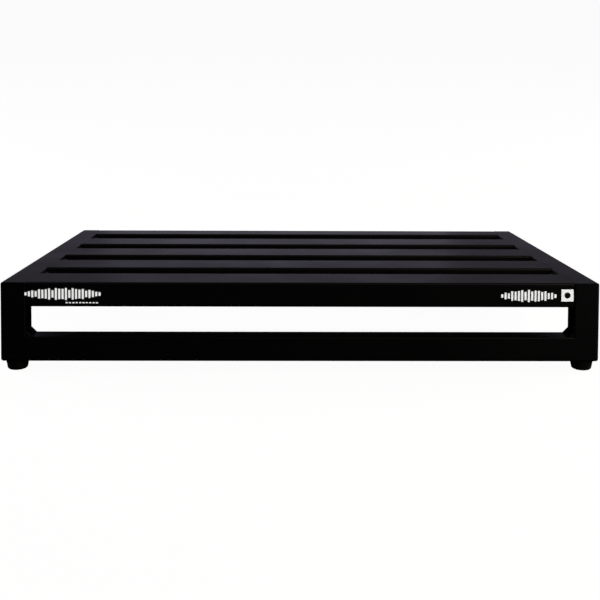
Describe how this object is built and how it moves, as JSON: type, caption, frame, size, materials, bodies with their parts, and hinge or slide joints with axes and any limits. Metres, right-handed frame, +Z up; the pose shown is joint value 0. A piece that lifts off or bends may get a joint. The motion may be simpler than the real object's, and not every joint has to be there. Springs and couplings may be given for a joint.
{
  "type": "pedalboard",
  "caption": "Welded frame of black tube with a slatted deck that slopes from a tall windowed riser to a low toe, on rubber feet, for carrying guitar effect pedals.",
  "frame": {"origin": "on the floor under the middle of the board's footprint", "axes": "+X across the board to the right seen from the tall riser end, +Y from the riser end to the low toe end, +Z up"},
  "size_m": [0.6096, 0.4136, 0.0907],
  "materials": {
    "powder_coated_frame": "satin black powder coat on welded aluminium tube",
    "toe_plug_plastic": "matte moulded black polyethylene",
    "foot_rubber": "matte moulded black rubber",
    "fixing_steel": "satin bright zinc plate"
  },
  "bodies": {
    "root": {"riser_rail": "powder_coated_frame", "deck_rail_1": "powder_coated_frame", "deck_rail_2": "powder_coated_frame", "deck_rail_3": "powder_coated_frame", "toe_rail": "powder_coated_frame", "riser_crossbar": "powder_coated_frame", "side_rail_left": "powder_coated_frame", "side_rail_right": "powder_coated_frame", "riser_post_left": "powder_coated_frame", "riser_post_right": "powder_coated_frame", "corner_gusset_left": "powder_coated_frame", "corner_gusset_right": "powder_coated_frame", "toe_plug_left": "toe_plug_plastic", "toe_plug_right": "toe_plug_plastic", "foot_riser_left": "foot_rubber", "foot_riser_right": "foot_rubber", "foot_toe_left": "foot_rubber", "foot_toe_right": "foot_rubber", "foot_washer_riser_left": "fixing_steel", "foot_washer_riser_right": "fixing_steel", "foot_washer_toe_left": "fixing_steel", "foot_washer_toe_right": "fixing_steel", "foot_screw_riser_left": "fixing_steel", "foot_screw_riser_right": "fixing_steel", "foot_screw_toe_left": "fixing_steel", "foot_screw_toe_right": "fixing_steel", "rivet_nut_riser_left": "fixing_steel", "rivet_nut_riser_right": "fixing_steel", "rivet_nut_toe_left": "fixing_steel", "rivet_nut_toe_right": "fixing_steel"}
  },
  "joints": []
}
